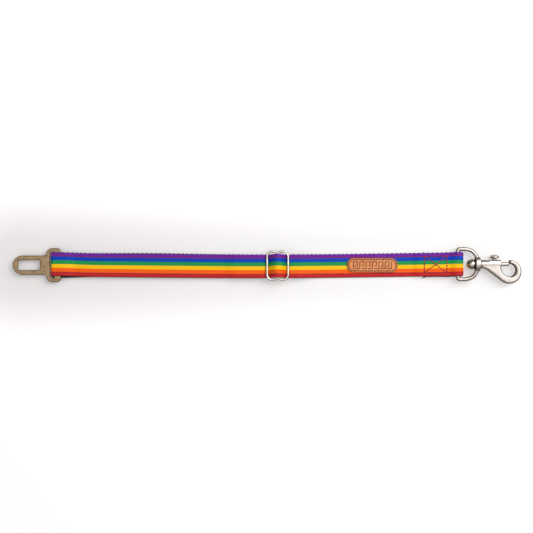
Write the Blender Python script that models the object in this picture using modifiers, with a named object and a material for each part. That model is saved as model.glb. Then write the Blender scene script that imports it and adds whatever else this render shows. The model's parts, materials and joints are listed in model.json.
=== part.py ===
"""Adjustable travel strap: a seat-buckle tongue on one end, a swivel bolt snap on the other.

One length of black webbing carries a striped ribbon on its outer face, held by two rows of stitching.
It starts at the snap, wraps the bar of the swivel eye, runs left over the slide adjuster's centre bar,
wraps the tongue's bar, comes back underneath and is sewn round the adjuster's centre bar.

Frame: metres, +Z up, the strap along X and its width along Y. The origin is on the underside of the
steel tongue, midway between its latch window and its webbing slot. The snap is at +X.
"""

import math

import bmesh
import bpy
from mathutils import Vector

MM = 0.001

# Webbing, ribbon and thread: thicknesses add up outwards from the webbing's inner face.
WEB_WIDTH = 24.4 * MM
WEB_THICK = 1.5 * MM
RIBBON_WIDTH = 23.8 * MM
RIBBON_THICK = 0.4 * MM
THREAD_THICK = 0.2 * MM
THREAD_WIDTH = 0.6 * MM
THREAD_Y = 8.6 * MM  # each edge seam's distance from the centreline
LAYER_GAP = 0.1 * MM  # between sewn layers
THREAD_GAP = 0.05 * MM
SEGMENT_GAP = 0.1 * MM  # between two lengths of the same webbing
LEVEL_END = 0.5 * MM  # level stretch where one length meets the next

# Heights of the webbing's inner face.
LOWER_Z = -0.35 * MM  # lower layer between tongue and adjuster, face up
UPPER_Z = 0.0 * MM  # upper layer between tongue and adjuster, face down
RUN_Z = 2.2 * MM  # upper layer where it crosses the sewn end and passes under the outer bars
TAIL_Z = -0.25 * MM  # sewn end, folded back on the lower layer
FLOOR_Z = -2.6 * MM  # single layer lying flat, face down

# Steel tongue.
TONGUE_THICK = 2.8 * MM
BLADE_HALF = 10.0 * MM
BLADE_TIP_X = -33.3 * MM
WINDOW_X = (-28.0 * MM, -5.0 * MM)
WINDOW_HALF = 5.2 * MM
HEAD_X = (1.6 * MM, 16.6 * MM)
HEAD_HALF = 17.6 * MM
SLOT_X = (5.2 * MM, 9.8 * MM)
SLOT_HALF = 13.7 * MM
TONGUE_EDGE = 0.7 * MM  # rounding of the stamped edges
TONGUE_FOLD_X = 10.0 * MM  # centre of the webbing's turn round the tongue's bar
TONGUE_LOOP_X = 34.0 * MM  # right end of the length of webbing that flexes with the tongue

# Slide adjuster, bent from wire with a welded centre bar.
ADJ_X = 241.9 * MM
ADJ_WIRE = 1.15 * MM  # wire radius
ADJ_Z = 5.75 * MM
ADJ_BAR_X = 10.9 * MM  # outer bars' distance from the centre bar
ADJ_SHOULDER_Y = 14.6 * MM
ADJ_WAIST_Y = 13.6 * MM
ADJ_CORNER = 5.5 * MM
ADJ_LOOP_R = 1.3 * MM  # inner radius of the webbing sewn round the centre bar
HUMP_HALF = 9.6 * MM  # half length of the webbing's rise over the centre bar
HUMP_RISE = 7.35 * MM
HUMP_X = (226.0 * MM, 258.0 * MM)
SEWN_X = 201.0 * MM  # left end of the sewn double layer

# Webbing between the adjuster and the swivel eye.
RIGHT_RUN_X = 310.0 * MM
EYE_TAIL_X = 393.5 * MM
SEAM_LINE_X = (391.0 * MM, 419.0 * MM)  # the sewn double layer climbs in a straight line here
SEAM_LINE_Z = -0.5 * MM
SEAM_SLOPE = 0.0917

# Swivel eye and bolt snap. SNAP_X is the boss's right face, and the stem lies along X at SNAP_Z.
SNAP_Z = 3.3 * MM
SNAP_X = 451.8 * MM
EYE_BAR_X = 428.9 * MM
EYE_WIRE = 2.0 * MM
EYE_LOOP_R = 2.2 * MM
EYE_HALF = 15.7 * MM
EYE_SLACK = 1.5 * MM  # play between the bar and the end of the webbing's loop
EYE_CORNER = 2.1 * MM
EYE_BOW_X = 433.7 * MM
EYE_BOW_FULLNESS = 0.78  # below 1 makes the bow squarer than an ellipse
BOSS_R = 5.9 * MM
BOSS_WIDE = 1.28  # the boss is oval, wider along Y
BOSS_LENGTH = 4.8 * MM
BOSS_BORE_R = 2.7 * MM
STEM_R = 2.5 * MM
BALL_R = 5.2 * MM
BALL_X = -8.4 * MM
BARREL_R = 4.3 * MM
BARREL_X = (0.3 * MM, 21.4 * MM)
BORE_R = 1.95 * MM
BORE_END_X = 2.2 * MM
RING_CENTRE = (30.4 * MM, -8.0 * MM)
RING_R = 12.3 * MM
HOLE_CENTRE = (30.4 * MM, -6.45 * MM)
HOLE_R = 6.7 * MM
THROAT_CENTRE = (31.3 * MM, -3.3 * MM)
THROAT_R = 9.7 * MM
NECK_FILLET_R = 10.3 * MM
NECK_FILLET_X = 2.0 * MM
FLANK_DEG = 38.2  # slope of the hook's straight flank
HOOK_THICK = 7.0 * MM
HOOK_ROUND = 1.8 * MM
BOLT_R = 1.75 * MM
BOLT_X = (13.5 * MM, 30.2 * MM)
BOLT_TRAVEL = 7.5 * MM
KNOB_X = 15.1 * MM
KNOB_STEM_R = 1.5 * MM
KNOB_PIN_R = 0.9 * MM
KNOB_CAP_R = 4.9 * MM
KNOB_CAP_Z = (6.3 * MM, 9.7 * MM)
SPRING_R = 1.45 * MM
SPRING_WIRE = 0.22 * MM
SPRING_TURNS = 6

# Leather patch and seams.
PATCH_X = (314.5 * MM, 366.9 * MM)
PATCH_HALF = 7.5 * MM
PATCH_CORNER = 6.5 * MM
PATCH_THICK = 1.2 * MM
PATCH_SEAM_INSET = 1.6 * MM
BOX_HALF_Y = THREAD_Y
EYE_BOX_X = (394.7 * MM, 417.8 * MM)
ADJ_BOX_X = (203.5 * MM, 223.5 * MM)

# Each coat on the webbing, as its near and far distance from the webbing's inner face.
WEB = (0.0, WEB_THICK)
RIBBON = (WEB_THICK + LAYER_GAP, WEB_THICK + LAYER_GAP + RIBBON_THICK)
THREAD = (RIBBON[1] + THREAD_GAP, RIBBON[1] + THREAD_GAP + THREAD_THICK)

COLOURS = {
    "webbing_black": ((0.012, 0.012, 0.014), 0.85, 0.0),
    "ribbon_striped": ((0.90, 0.36, 0.03), 0.55, 0.0),
    "thread_red": ((0.45, 0.02, 0.04), 0.7, 0.0),
    "thread_brown": ((0.09, 0.035, 0.015), 0.7, 0.0),
    "leather_tan": ((0.70, 0.25, 0.09), 0.6, 0.0),
    "steel_yellow_zinc": ((0.42, 0.32, 0.18), 0.42, 1.0),
    "wire_nickel": ((0.72, 0.69, 0.62), 0.2, 1.0),
    "casting_nickel": ((0.55, 0.51, 0.46), 0.36, 1.0),
    "spring_steel": ((0.45, 0.45, 0.45), 0.3, 1.0),
}


def clear_scene():
    for obj in list(bpy.data.objects):
        bpy.data.objects.remove(obj, do_unlink=True)


def new_collection(name):
    collection = bpy.data.collections.new(name)
    bpy.context.scene.collection.children.link(collection)
    return collection


def material(name):
    found = bpy.data.materials.get(name)
    if found:
        return found
    colour, roughness, metallic = COLOURS[name]
    made = bpy.data.materials.new(name)
    made.use_nodes = True
    shader = made.node_tree.nodes["Principled BSDF"]
    shader.inputs["Base Color"].default_value = (*colour, 1.0)
    shader.inputs["Roughness"].default_value = roughness
    shader.inputs["Metallic"].default_value = metallic
    return made


# Points on plane outlines and paths


def arc(centre, radius, start, end, steps):
    """Points on an arc from start to end, in degrees, with both ends included."""
    points = []
    for i in range(steps + 1):
        angle = math.radians(start + (end - start) * i / steps)
        points.append(Vector((centre[0] + radius * math.cos(angle), centre[1] + radius * math.sin(angle))))
    return points


def ramp(start, end, steps):
    """An S-shaped change of height, level at both ends."""
    points = []
    for i in range(steps + 1):
        share = i / steps
        smooth = share * share * (3 - 2 * share)
        points.append(Vector((start[0] + (end[0] - start[0]) * share, start[1] + (end[1] - start[1]) * smooth)))
    return points


def bezier(a, b, c, d, steps):
    points = []
    for i in range(steps + 1):
        t = i / steps
        s = 1 - t
        points.append(a * s**3 + b * (3 * s * s * t) + c * (3 * s * t * t) + d * t**3)
    return points


def joined(*stretches):
    """One path out of several, without the points they share."""
    path = []
    for stretch in stretches:
        for point in stretch:
            point = Vector(point)
            if not path or (point - path[-1]).length > 0.01 * MM:
                path.append(point)
    return path


def offset(path, distance):
    """The path moved to the right of its travel by a distance, mitred at its corners."""
    moved = []
    for i, point in enumerate(path):
        before = path[max(i - 1, 0)]
        after = path[min(i + 1, len(path) - 1)]
        sides = []
        for a, b in ((before, point), (point, after)):
            if (b - a).length > 0:
                along = (b - a).normalized()
                sides.append(Vector((along.y, -along.x)))
        middle = sum(sides, Vector((0, 0))).normalized()
        moved.append(point + middle * (distance / middle.dot(sides[0])))
    return moved


def rounded_rectangle(x_range, half, radius, steps):
    """A rectangle about the X axis with rounded corners, anticlockwise."""
    left, right = x_range[0] + radius, x_range[1] - radius
    inset = half - radius
    return joined(
        arc((right, -inset), radius, -90, 0, steps),
        arc((right, inset), radius, 0, 90, steps),
        arc((left, inset), radius, 90, 180, steps),
        arc((left, -inset), radius, 180, 270, steps),
    )


# Objects


def add_object(name, data, look, collection):
    obj = bpy.data.objects.new(name, data)
    collection.objects.link(obj)
    if look:
        obj.data.materials.append(material(look))
    return obj


def flat_shape(name, outlines, thickness, look, collection):
    """A plate from closed outlines in its XY plane; the outlines after the first are its holes."""
    curve = bpy.data.curves.new(name, "CURVE")
    curve.dimensions = "2D"
    curve.fill_mode = "BOTH"
    curve.extrude = thickness / 2
    for outline in outlines:
        spline = curve.splines.new("POLY")
        spline.points.add(len(outline) - 1)
        for point, place in zip(spline.points, outline):
            point.co = (place[0], place[1], 0, 1)
        spline.use_cyclic_u = True
    return add_object(name, curve, look, collection)


def band(name, path, coat, width, y, look, collection):
    """A strip that follows a path in the XZ plane, as thick as its coat and as wide as asked."""
    near, far = coat
    outline = offset(path, near) + offset(path, far)[::-1]
    obj = flat_shape(name, [outline], width, look, collection)
    obj.rotation_euler = (math.pi / 2, 0, 0)
    obj.location = (0, y, 0)
    return obj


def wire(name, points, radius, look, collection, cyclic=False, resolution=2):
    """A round wire through points in space."""
    curve = bpy.data.curves.new(name, "CURVE")
    curve.dimensions = "3D"
    curve.bevel_depth = radius
    curve.bevel_resolution = resolution
    curve.use_fill_caps = not cyclic
    spline = curve.splines.new("POLY")
    spline.points.add(len(points) - 1)
    for point, place in zip(spline.points, points):
        point.co = (*place, 1)
    spline.use_cyclic_u = cyclic
    return add_object(name, curve, look, collection)


def bevel(obj, width, segments, angle=30):
    weld = obj.modifiers.new("Weld", "WELD")
    weld.merge_threshold = 0.00001
    rounding = obj.modifiers.new("Bevel", "BEVEL")
    rounding.width = width
    rounding.segments = segments
    rounding.limit_method = "ANGLE"
    rounding.angle_limit = math.radians(angle)


def to_mesh(obj):
    """The object as its modifiers leave it, as a plain closed mesh in the same place."""
    bpy.context.view_layer.update()
    graph = bpy.context.evaluated_depsgraph_get()
    mesh = bpy.data.meshes.new_from_object(obj.evaluated_get(graph), depsgraph=graph)
    work = bmesh.new()
    work.from_mesh(mesh)
    bmesh.ops.remove_doubles(work, verts=work.verts, dist=0.000005)
    work.to_mesh(mesh)
    work.free()
    name, place, homes = obj.name, obj.matrix_world.copy(), obj.users_collection
    bpy.data.objects.remove(obj, do_unlink=True)
    made = bpy.data.objects.new(name, mesh)
    made.matrix_world = place
    for home in homes:
        home.objects.link(made)
    return made


def rod(name, radius, x_range, look, collection, vertices=24, y=0.0, z=0.0):
    """A cylinder along X."""
    mesh = bpy.data.meshes.new(name)
    work = bmesh.new()
    bmesh.ops.create_cone(
        work,
        cap_ends=True,
        segments=vertices,
        radius1=radius,
        radius2=radius,
        depth=x_range[1] - x_range[0],
    )
    work.to_mesh(mesh)
    work.free()
    obj = add_object(name, mesh, look, collection)
    obj.rotation_euler = (0, math.pi / 2, 0)
    obj.location = (sum(x_range) / 2, y, z)
    return obj


def boolean(obj, other, operation):
    change = obj.modifiers.new(operation.title(), "BOOLEAN")
    change.operation = operation
    change.object = other
    other.hide_render = True
    other.display_type = "WIRE"


def smooth_round(obj, angle=35):
    obj.data.shade_smooth()
    obj.data.set_sharp_from_angle(angle=math.radians(angle))


# The webbing's path, always with the ribbon to the right of the travel


def seam_height(x):
    """Height of the line between the two sewn layers at the swivel eye."""
    return SEAM_LINE_Z + SEAM_SLOPE * (x - SEAM_LINE_X[0])


def hump_height(x):
    """Height of the inner face where the webbing climbs over the adjuster's centre bar."""
    share = min(abs(x - ADJ_X) / HUMP_HALF, 1)
    return RUN_Z + HUMP_RISE * (1 + math.cos(math.pi * share)) / 2


def eye_end_path():
    """From the cut end, under and round the swivel eye's bar, and back on top."""
    half_gap = LAYER_GAP / 2
    lower = (SEAM_LINE_X[1], seam_height(SEAM_LINE_X[1]) - half_gap)
    upper = (SEAM_LINE_X[1], seam_height(SEAM_LINE_X[1]) + half_gap)
    return joined(
        [(EYE_TAIL_X, seam_height(EYE_TAIL_X) - half_gap), lower],
        ramp(lower, (EYE_BAR_X, SNAP_Z - EYE_LOOP_R), 4),
        arc((EYE_BAR_X + EYE_SLACK, SNAP_Z), EYE_LOOP_R, -90, 90, 10),
        ramp((EYE_BAR_X, SNAP_Z + EYE_LOOP_R), upper, 5),
        [(SEAM_LINE_X[0], seam_height(SEAM_LINE_X[0]) + half_gap)],
        ramp((SEAM_LINE_X[0], seam_height(SEAM_LINE_X[0]) + half_gap), (381 * MM, FLOOR_Z), 5),
        [(RIGHT_RUN_X, FLOOR_Z)],
    )


def right_run_path():
    start = RIGHT_RUN_X - SEGMENT_GAP
    climb = ramp((288 * MM, FLOOR_Z), (HUMP_X[1] + LEVEL_END, RUN_Z), 7)
    return joined([(start, FLOOR_Z)], climb, [(HUMP_X[1], RUN_Z)])


def hump_path():
    """Under the right outer bar, over the centre bar and under the left outer bar."""
    start, end = HUMP_X[1] - SEGMENT_GAP, HUMP_X[0] + SEGMENT_GAP
    steps = 16
    top = []
    for i in range(steps + 1):
        x = ADJ_X + HUMP_HALF * (1 - 2 * i / steps)
        top.append((x, hump_height(x)))
    return joined([(start, RUN_Z)], top, [(end, RUN_Z)])


def upper_run_path():
    return joined([(HUMP_X[0], RUN_Z)], ramp((199 * MM, RUN_Z), (184 * MM, UPPER_Z), 5), [(TONGUE_LOOP_X, UPPER_Z)])


def tongue_loop_path():
    """Up over the tongue's bar, round it through the slot, and back underneath."""
    radius = (TONGUE_THICK + 2 * -LOWER_Z) / 2
    centre = (TONGUE_FOLD_X, LOWER_Z + radius)
    start = TONGUE_LOOP_X - SEGMENT_GAP
    return joined(
        [(start, UPPER_Z)],
        ramp((start - LEVEL_END, UPPER_Z), (19 * MM, LOWER_Z + 2 * radius), 7),
        arc(centre, radius, 90, 270, 10),
        [(start, LOWER_Z)],
    )


def lower_run_path():
    return joined([(TONGUE_LOOP_X, LOWER_Z), (SEWN_X - SEGMENT_GAP, LOWER_Z)])


def adjuster_loop_path():
    """In under the centre bar, round it, and back left as the folded end."""
    # Directions of travel on meeting and leaving the centre bar, in degrees.
    meet, leave = 46, 230
    way_in = Vector((math.cos(math.radians(meet)), math.sin(math.radians(meet))))
    way_out = Vector((math.cos(math.radians(leave)), math.sin(math.radians(leave))))
    around = arc((ADJ_X, ADJ_Z), ADJ_LOOP_R, meet - 90, leave - 90, 10)
    start = Vector((233.5 * MM, LOWER_Z))
    climb = bezier(start, start + Vector((3.6 * MM, 0)), around[0] - way_in * 4.4 * MM, around[0], 6)
    flat = Vector((231.5 * MM, TAIL_Z))
    back = bezier(around[-1], around[-1] + way_out * 5.5 * MM, flat + Vector((4.5 * MM, 0)), flat, 7)
    return joined([(SEWN_X, LOWER_Z)], climb, around, back, [(SEWN_X, TAIL_Z)])


def webbing_segments(collection):
    """Each length of the webbing with its ribbon and its two rows of stitching."""
    lengths = {
        "eye_end": eye_end_path(),
        "right_run": right_run_path(),
        "hump": hump_path(),
        "upper_run": upper_run_path(),
        "tongue_loop": tongue_loop_path(),
        "lower_run": lower_run_path(),
        "adjuster_loop": adjuster_loop_path(),
    }
    for name, path in lengths.items():
        band("webbing_" + name, path, WEB, WEB_WIDTH, 0, "webbing_black", collection)
        band("ribbon_" + name, path, RIBBON, RIBBON_WIDTH, 0, "ribbon_striped", collection)
        band("seam_violet_" + name, path, THREAD, THREAD_WIDTH, THREAD_Y, "thread_red", collection)
        band("seam_red_" + name, path, THREAD, THREAD_WIDTH, -THREAD_Y, "thread_red", collection)


# Seams that hold the folded ends


def box_seam(name, x_range, collection):
    """A sewn box with a cross in it: a plate whose four triangular holes leave the lines of thread."""
    a, b, w = (x_range[1] - x_range[0]) / 2, BOX_HALF_Y - THREAD_WIDTH, THREAD_WIDTH
    slope = b / a
    tip_y = w / 2 * math.sqrt(1 + slope * slope)
    tip_x = tip_y / slope
    side_y = slope * (a - w - tip_x)
    side_x = (b - w - tip_y) / slope
    outlines = [[(-a, -b), (a, -b), (a, b), (-a, b)]]
    for way in (1, -1):
        outlines.append([(way * tip_x, 0), (way * (a - w), side_y), (way * (a - w), -side_y)])
        outlines.append([(0, way * tip_y), (side_x, way * (b - w)), (-side_x, way * (b - w))])
    return flat_shape(name, outlines, THREAD_THICK, "thread_red", collection)


def build_seams(collection):
    eye_box = box_seam("box_seam_eye_end", EYE_BOX_X, collection)
    middle = sum(EYE_BOX_X) / 2
    lift = sum(THREAD) / 2 + LAYER_GAP / 2
    tilt = math.atan(SEAM_SLOPE)
    eye_box.rotation_euler = (0, -tilt, 0)
    eye_box.location = (middle - lift * math.sin(tilt), 0, seam_height(middle) + lift * math.cos(tilt))
    adjuster_box = box_seam("box_seam_adjuster", ADJ_BOX_X, collection)
    adjuster_box.location = (sum(ADJ_BOX_X) / 2, 0, LOWER_Z - sum(THREAD) / 2)


def build_patch(collection):
    base = FLOOR_Z + THREAD[1] + THREAD_GAP
    outline = rounded_rectangle(PATCH_X, PATCH_HALF, PATCH_CORNER, 6)
    patch = flat_shape("leather_patch", [outline], PATCH_THICK, "leather_tan", collection)
    patch.location = (0, 0, base + PATCH_THICK / 2)
    bevel(patch, 0.3 * MM, 1)
    inset = PATCH_SEAM_INSET
    seam = rounded_rectangle(
        (PATCH_X[0] + inset, PATCH_X[1] - inset), PATCH_HALF - inset, PATCH_CORNER - inset, 4
    )
    height = base + PATCH_THICK + THREAD_WIDTH / 2 + THREAD_GAP
    points = [(point.x, point.y, height) for point in seam]
    wire("patch_seam", points, THREAD_WIDTH / 2, "thread_brown", collection, cyclic=True, resolution=1)


# Metalwork


def build_tongue(collection):
    """The stamped plate: a rounded blade with a latch window, and a wide head with a slot."""
    fillet = 1.6 * MM
    head_left, head_right = HEAD_X
    big, small = 5.9 * MM, 4.2 * MM
    upper_half = joined(
        arc((head_right - small, HEAD_HALF - small), small, 0, 90, 4),
        arc((head_left + big, HEAD_HALF - big), big, 90, 180, 6),
        arc((head_left - fillet, BLADE_HALF + fillet), fillet, 0, -90, 3),
        arc((BLADE_TIP_X + BLADE_HALF, 0), BLADE_HALF, 90, 180, 9),
    )
    lower_half = [Vector((point.x, -point.y)) for point in reversed(upper_half[:-1])]
    window = rounded_rectangle(WINDOW_X, WINDOW_HALF, 0.8 * MM, 2)
    slot = rounded_rectangle(SLOT_X, SLOT_HALF, 1.2 * MM, 2)
    plate = flat_shape(
        "tongue_plate", [upper_half + lower_half, window, slot], TONGUE_THICK, "steel_yellow_zinc", collection
    )
    plate.location = (0, 0, TONGUE_THICK / 2)
    bevel(plate, TONGUE_EDGE, 2)


def adjuster_outline():
    """One turn of the bent wire: straight outer bars, rounded corners and a waist at the centre bar."""
    side = ADJ_BAR_X - ADJ_CORNER
    quarter = arc((side, ADJ_SHOULDER_Y - ADJ_CORNER), ADJ_CORNER, 0, 90, 5)
    dip = ramp((side, ADJ_SHOULDER_Y), (0, ADJ_WAIST_Y), 4)[1:]
    first = quarter + dip
    second = [Vector((-point.x, point.y)) for point in reversed(first[:-1])]
    top = first + second
    return top + [Vector((-point.x, -point.y)) for point in top]


def build_adjuster(collection):
    points = [(ADJ_X + point.x, point.y, ADJ_Z) for point in adjuster_outline()]
    wire("adjuster_frame", points, ADJ_WIRE, "wire_nickel", collection, cyclic=True)
    reach = ADJ_WAIST_Y - ADJ_WIRE - LAYER_GAP
    ends = [(ADJ_X, -reach, ADJ_Z), (ADJ_X, reach, ADJ_Z)]
    wire("adjuster_centre_bar", ends, ADJ_WIRE, "wire_nickel", collection)


def build_eye(collection, cutters):
    """The D-shaped eye: a bar for the webbing, two arms and a boss for the snap's stem."""
    bow = []
    steps = 14
    depth = SNAP_X - BOSS_LENGTH / 2 - EYE_BOW_X
    for i in range(1, steps):
        angle = math.pi / 2 * (1 - 2 * i / steps)
        across = math.copysign(abs(math.sin(angle)) ** EYE_BOW_FULLNESS, math.sin(angle))
        bow.append((EYE_BOW_X + depth * math.cos(angle) ** EYE_BOW_FULLNESS, -EYE_HALF * across))
    corner_x, corner_y = EYE_BAR_X + EYE_CORNER, EYE_HALF - EYE_CORNER
    path = joined(
        arc((corner_x, corner_y), EYE_CORNER, 180, 90, 4)[::-1][:1],
        arc((corner_x, corner_y), EYE_CORNER, 90, 180, 4),
        arc((corner_x, -corner_y), EYE_CORNER, 180, 270, 4),
        [(EYE_BOW_X, -EYE_HALF)],
        bow,
        [(EYE_BOW_X, EYE_HALF)],
    )
    tube = wire(
        "swivel_eye", [(x, y, SNAP_Z) for x, y in path], EYE_WIRE, "casting_nickel", collection, True
    )
    eye = to_mesh(tube)
    boss_x = (SNAP_X - BOSS_LENGTH, SNAP_X)
    boss = rod("boss", BOSS_R, boss_x, None, cutters, z=SNAP_Z)
    boss.scale = (1, BOSS_WIDE, 1)
    boolean(eye, boss, "UNION")
    bore = rod("boss_bore", BOSS_BORE_R, (boss_x[0] - 3 * MM, boss_x[1] + 3 * MM), None, cutters, z=SNAP_Z)
    boolean(eye, bore, "DIFFERENCE")
    smooth_round(eye)


def hook_outline():
    """The flat of the hook: flank, ring, nose and throat, about the snap's own axis."""
    flank = math.radians(FLANK_DEG)
    neck_centre = (NECK_FILLET_X, -BARREL_R - NECK_FILLET_R)
    neck = arc(neck_centre, NECK_FILLET_R, 90, 90 - FLANK_DEG, 4)
    ring_start = math.degrees(math.atan2(-math.cos(flank), -math.sin(flank)))
    ring = arc(RING_CENTRE, RING_R, ring_start, 90, 18)
    hole = arc(HOLE_CENTRE, HOLE_R, 90, -80, 10)
    throat = arc(THROAT_CENTRE, THROAT_R, -98, -180, 6)
    inside_barrel = BARREL_R / 2
    return joined(
        [(NECK_FILLET_X, -inside_barrel)],
        neck,
        ring,
        hole,
        throat,
        [(THROAT_CENTRE[0] - THROAT_R, -inside_barrel)],
    )


def build_hook(collection, cutters):
    """The cast hook: flat hook and round barrel in one, with a stem and ball that pass the eye's boss."""
    axis = Vector((SNAP_X, 0, SNAP_Z))
    flat = flat_shape("hook_body", [hook_outline()], HOOK_THICK, "casting_nickel", collection)
    flat.location = axis
    bevel(flat, HOOK_ROUND, 2, angle=40)
    hook = to_mesh(flat)

    barrel = rod("barrel", BARREL_R, [SNAP_X + x for x in BARREL_X], None, cutters, z=SNAP_Z)
    stem = rod("stem", STEM_R, (SNAP_X + BALL_X, SNAP_X + 3 * MM), None, cutters, z=SNAP_Z)
    sphere = bpy.data.meshes.new("ball")
    work = bmesh.new()
    bmesh.ops.create_uvsphere(work, u_segments=24, v_segments=12, radius=BALL_R)
    work.to_mesh(sphere)
    work.free()
    ball = add_object("ball", sphere, None, cutters)
    ball.rotation_euler = (0, math.pi / 2, 0)
    ball.location = (SNAP_X + BALL_X, 0, SNAP_Z)
    face = rod(
        "ball_face", BALL_R + 1 * MM, (SNAP_X - BOSS_LENGTH - 0.3 * MM, SNAP_X + 3 * MM), None, cutters, z=SNAP_Z
    )
    boolean(ball, face, "DIFFERENCE")
    for piece in (barrel, stem, ball):
        boolean(hook, piece, "UNION")

    bore = rod("bore", BORE_R, (SNAP_X + BORE_END_X, SNAP_X + BARREL_X[1] + 2 * MM), None, cutters, z=SNAP_Z)
    boolean(hook, bore, "DIFFERENCE")
    play = KNOB_STEM_R + 0.3 * MM
    slot_x = (KNOB_X - BOLT_TRAVEL - play, KNOB_X + play)
    slot = flat_shape("knob_slot", [rounded_rectangle(slot_x, play, play * 0.9, 3)], 8 * MM, None, cutters)
    slot.rotation_euler = (-math.pi / 2, 0, 0)
    slot.location = axis + Vector((0, 4 * MM, 0))
    boolean(hook, to_mesh(slot), "DIFFERENCE")
    smooth_round(hook)


def build_bolt(collection, cutters):
    bolt = rod("snap_bolt", BOLT_R, [SNAP_X + x for x in BOLT_X], "casting_nickel", collection, z=SNAP_Z)
    rounding = bolt.modifiers.new("Bevel", "BEVEL")
    rounding.width = 0.4 * MM
    rounding.segments = 2
    rounding.limit_method = "ANGLE"
    pin_hole = rod("pin_hole", KNOB_PIN_R + LAYER_GAP, (0, 3 * MM), None, cutters, vertices=12)
    pin_hole.rotation_euler = (math.pi / 2, 0, 0)
    pin_hole.location = (SNAP_X + KNOB_X, 1.9 * MM, SNAP_Z)
    boolean(bolt, pin_hole, "DIFFERENCE")
    smooth_round(bolt)

    # The knob is turned: a pin in the bolt, a stem in the barrel's slot and a domed cap outside it.
    low, high = KNOB_CAP_Z
    dome = []
    for i in range(6):
        angle = math.pi / 2 * (1 - i / 5)
        dome.append((KNOB_CAP_R * math.cos(angle), low + 0.9 * MM + (high - low - 0.9 * MM) * math.sin(angle)))
    stem_foot = BOLT_R + 0.15 * MM
    profile = dome + [
        (KNOB_CAP_R * 0.92, low + 0.2 * MM),
        (KNOB_STEM_R + 1.0 * MM, low),
        (KNOB_STEM_R, low - 1.3 * MM),
        (KNOB_STEM_R, stem_foot),
        (KNOB_PIN_R, stem_foot),
        (KNOB_PIN_R, 0.6 * MM),
        (0, 0.6 * MM),
    ]
    mesh = bpy.data.meshes.new("thumb_knob")
    edges = [(i, i + 1) for i in range(len(profile) - 1)]
    mesh.from_pydata([(r, 0, z) for r, z in profile], edges, [])
    knob = add_object("thumb_knob", mesh, "casting_nickel", collection)
    knob.rotation_euler = (-math.pi / 2, 0, 0)
    knob.location = (SNAP_X + KNOB_X, 0, SNAP_Z)
    turn = knob.modifiers.new("Screw", "SCREW")
    turn.steps = turn.render_steps = 20
    turn.use_merge_vertices = True
    turn.merge_threshold = 0.00001

    turns, per_turn = SPRING_TURNS, 12
    start, end = BORE_END_X + 0.3 * MM, BOLT_X[0] - 0.3 * MM
    length = end - start - 2 * SPRING_WIRE
    coil = []
    for i in range(turns * per_turn + 1):
        angle = 2 * math.pi * i / per_turn
        x = SNAP_X + start + SPRING_WIRE + length * i / (turns * per_turn)
        coil.append((x, SPRING_R * math.cos(angle), SNAP_Z + SPRING_R * math.sin(angle)))
    wire("bolt_spring", coil, SPRING_WIRE, "spring_steel", collection, resolution=1)


def main():
    clear_scene()
    strap = new_collection("adjustable_travel_strap")
    cutters = new_collection("cutters")
    webbing_segments(strap)
    build_seams(strap)
    build_patch(strap)
    build_tongue(strap)
    build_adjuster(strap)
    build_eye(strap, cutters)
    build_hook(strap, cutters)
    build_bolt(strap, cutters)


main()
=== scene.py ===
"""Looks for the adjustable restraint strap: striped ribbon on black webbing, stitched, with its metalwork.

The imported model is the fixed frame. Webbing, ribbon and threads follow the outlines of the CAD solids
they stand for, and the metalwork is rebuilt finer inside the boxes of its CAD solids.
"""

import json
import math

import bmesh
import bpy
from mathutils import Matrix, Vector, noise
from mathutils.geometry import delaunay_2d_cdt


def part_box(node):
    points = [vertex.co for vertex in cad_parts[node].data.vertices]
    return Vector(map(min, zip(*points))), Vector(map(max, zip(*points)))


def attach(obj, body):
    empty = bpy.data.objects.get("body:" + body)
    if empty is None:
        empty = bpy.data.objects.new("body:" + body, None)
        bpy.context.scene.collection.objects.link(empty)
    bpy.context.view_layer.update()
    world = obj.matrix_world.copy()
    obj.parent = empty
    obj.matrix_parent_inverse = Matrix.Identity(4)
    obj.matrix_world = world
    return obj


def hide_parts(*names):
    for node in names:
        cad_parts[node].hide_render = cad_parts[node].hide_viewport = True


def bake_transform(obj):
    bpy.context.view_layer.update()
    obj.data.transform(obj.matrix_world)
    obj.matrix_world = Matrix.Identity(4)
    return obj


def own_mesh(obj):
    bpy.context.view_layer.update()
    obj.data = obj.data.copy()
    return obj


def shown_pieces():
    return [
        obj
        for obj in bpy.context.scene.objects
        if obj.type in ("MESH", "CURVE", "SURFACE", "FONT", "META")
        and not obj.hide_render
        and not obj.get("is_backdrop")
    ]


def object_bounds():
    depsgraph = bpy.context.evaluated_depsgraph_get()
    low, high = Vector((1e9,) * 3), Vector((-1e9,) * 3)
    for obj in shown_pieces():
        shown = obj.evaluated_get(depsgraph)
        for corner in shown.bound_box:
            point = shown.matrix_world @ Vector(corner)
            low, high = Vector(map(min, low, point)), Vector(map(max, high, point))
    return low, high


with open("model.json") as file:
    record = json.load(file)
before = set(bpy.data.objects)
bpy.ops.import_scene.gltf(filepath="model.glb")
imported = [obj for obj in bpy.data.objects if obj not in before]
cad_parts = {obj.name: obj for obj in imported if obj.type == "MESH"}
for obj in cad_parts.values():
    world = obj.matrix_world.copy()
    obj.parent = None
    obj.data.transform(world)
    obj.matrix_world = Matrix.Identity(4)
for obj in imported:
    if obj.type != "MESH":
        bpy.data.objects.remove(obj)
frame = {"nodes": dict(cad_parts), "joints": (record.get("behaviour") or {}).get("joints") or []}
cad_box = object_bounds()

MM = 0.001
NODES = frame["nodes"]
JOINTS = {joint["name"]: joint for joint in frame["joints"]}


def origin_of(joint):
    return Vector(JOINTS[joint]["pos_m"])


def link(name, data, *looks):
    """A new object in the scene, with its materials."""
    obj = bpy.data.objects.new(name, data)
    bpy.context.scene.collection.objects.link(obj)
    for look in looks:
        data.materials.append(look)
    return obj


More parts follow.
